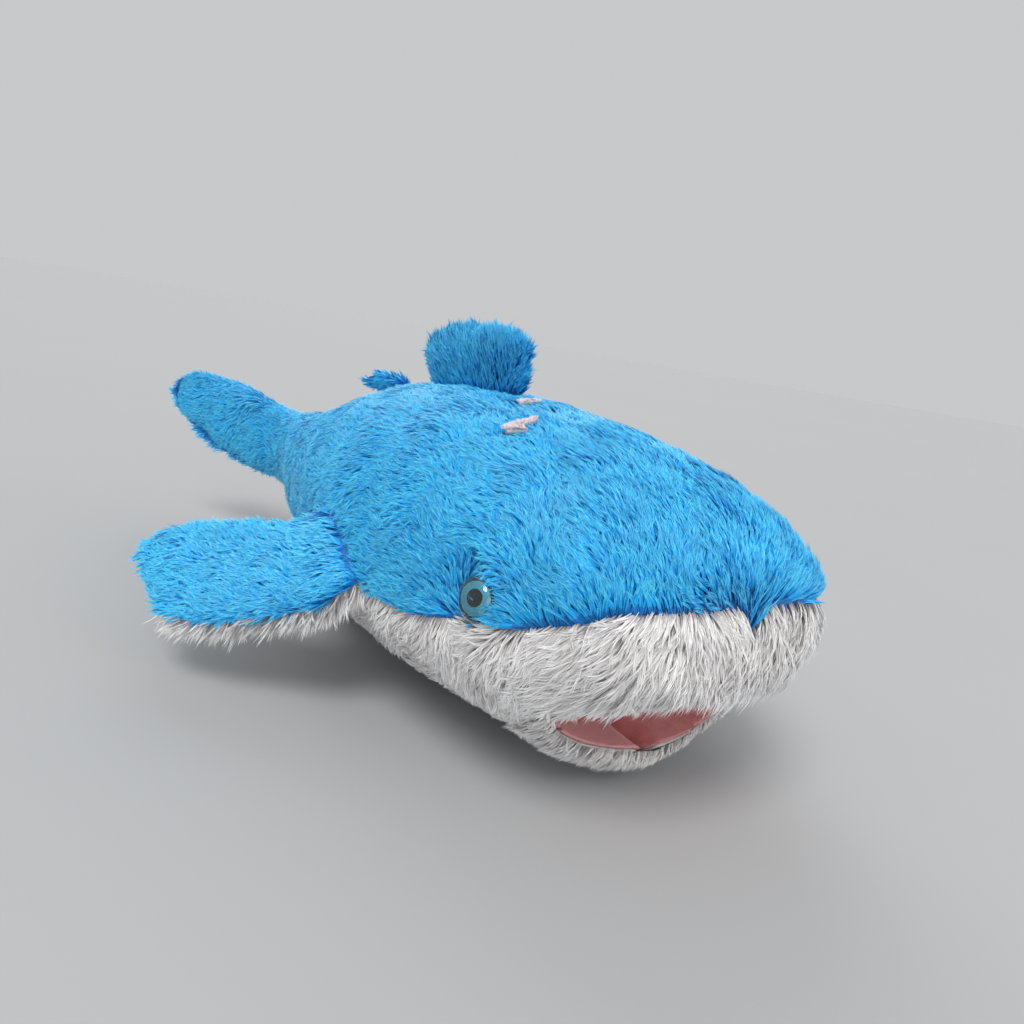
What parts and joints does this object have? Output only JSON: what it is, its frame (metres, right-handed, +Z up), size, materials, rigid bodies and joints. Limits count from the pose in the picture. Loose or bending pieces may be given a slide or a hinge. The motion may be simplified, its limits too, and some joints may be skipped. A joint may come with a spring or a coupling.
{
  "type": "plush shark",
  "caption": "Long-pile blue and white plush shark on its belly, with a pink mouth pocket, safety eyes, floppy fins and a tail that swings.",
  "frame": {"origin": "centre of the bounding box in plan, at the height of the flat belly that the shark rests on", "axes": "+Z up, +Y from the snout towards the tail, so the shark faces -Y and its right side is -X"},
  "size_m": [0.2674, 0.3753, 0.1422],
  "materials": {
    "blue_plush": "long shiny polyester pile, brushed",
    "white_plush": "long shaggy polyester pile",
    "pink_velour": "short velour",
    "stuffing": "polyester fibre fill",
    "eye_iris": "black plate with a teal iris",
    "eye_dome": "clear polished dome",
    "eye_washer": "moulded",
    "mark_stitching": "short pale pink felt"
  },
  "bodies": {
    "body": {"back_panel_right": "blue_plush", "back_panel_left": "blue_plush", "muzzle_panel": "white_plush", "belly_panel": "white_plush", "body_stuffing": "stuffing", "mouth_lining_upper": "pink_velour", "eye_right_iris": "eye_iris", "eye_right_dome": "eye_dome", "eye_right_washer": "eye_washer", "eye_left_iris": "eye_iris", "eye_left_dome": "eye_dome", "eye_left_washer": "eye_washer", "back_mark_lower": "mark_stitching", "back_mark_upper": "mark_stitching"},
    "jaw": {"jaw_panel": "white_plush", "jaw_stuffing": "stuffing", "mouth_lining_lower": "pink_velour"},
    "tail": {"tail_panel_right": "blue_plush", "tail_panel_left": "blue_plush", "tail_underside_panel": "white_plush", "tail_stuffing": "stuffing"},
    "caudal_fin": {"caudal_panel_right": "blue_plush", "caudal_panel_left": "blue_plush", "caudal_wadding": "stuffing"},
    "pectoral_right": {"pectoral_right_upper_panel": "blue_plush", "pectoral_right_lower_panel": "white_plush", "pectoral_right_wadding": "stuffing"},
    "pectoral_left": {"pectoral_left_upper_panel": "blue_plush", "pectoral_left_lower_panel": "white_plush", "pectoral_left_wadding": "stuffing"},
    "dorsal_fin": {"dorsal_right_panel": "blue_plush", "dorsal_left_panel": "blue_plush", "dorsal_wadding": "stuffing"},
    "second_dorsal_fin": {"second_dorsal_right_panel": "blue_plush", "second_dorsal_left_panel": "blue_plush"}
  },
  "joints": [
    {"name": "jaw_open", "type": "hinge", "parent": "body", "child": "jaw", "pos_m": [0, -0.1065, 0.017], "axis": [1, 0, 0], "range_deg": [-3, 6], "stiffness_Nm_per_rad": 0.06},
    {"name": "tail_swing", "type": "hinge", "parent": "body", "child": "tail", "pos_m": [-0.02455, 0.0605, 0.055], "axis": [0, 0, 1], "range_deg": [-14, 14], "stiffness_Nm_per_rad": 0.12},
    {"name": "caudal_swing", "type": "hinge", "parent": "tail", "child": "caudal_fin", "pos_m": [-0.04282, 0.1045, 0.061], "axis": [0, 0, 1], "range_deg": [-30, 30], "stiffness_Nm_per_rad": 0.03},
    {"name": "pectoral_right_flap", "type": "hinge", "parent": "body", "child": "pectoral_right", "pos_m": [-0.0865, -0.0615, 0.048], "axis": [0, 0.848, 0.5299], "range_deg": [-12, 60], "stiffness_Nm_per_rad": 0.03},
    {"name": "pectoral_left_flap", "type": "hinge", "parent": "body", "child": "pectoral_left", "pos_m": [0.0865, -0.0615, 0.048], "axis": [0, 0.848, 0.5299], "range_deg": [-60, 12], "stiffness_Nm_per_rad": 0.03},
    {"name": "dorsal_fold", "type": "hinge", "parent": "body", "child": "dorsal_fin", "pos_m": [-0.00244, -0.0165, 0.122], "axis": [0, 0.9936, -0.1132], "range_deg": [-55, 55], "stiffness_Nm_per_rad": 0.01},
    {"name": "second_dorsal_fold", "type": "hinge", "parent": "tail", "child": "second_dorsal_fin", "pos_m": [-0.01482, 0.0325, 0.1062], "axis": [0, 0.9272, -0.3746], "range_deg": [-30, 100], "stiffness_Nm_per_rad": 0.004}
  ]
}
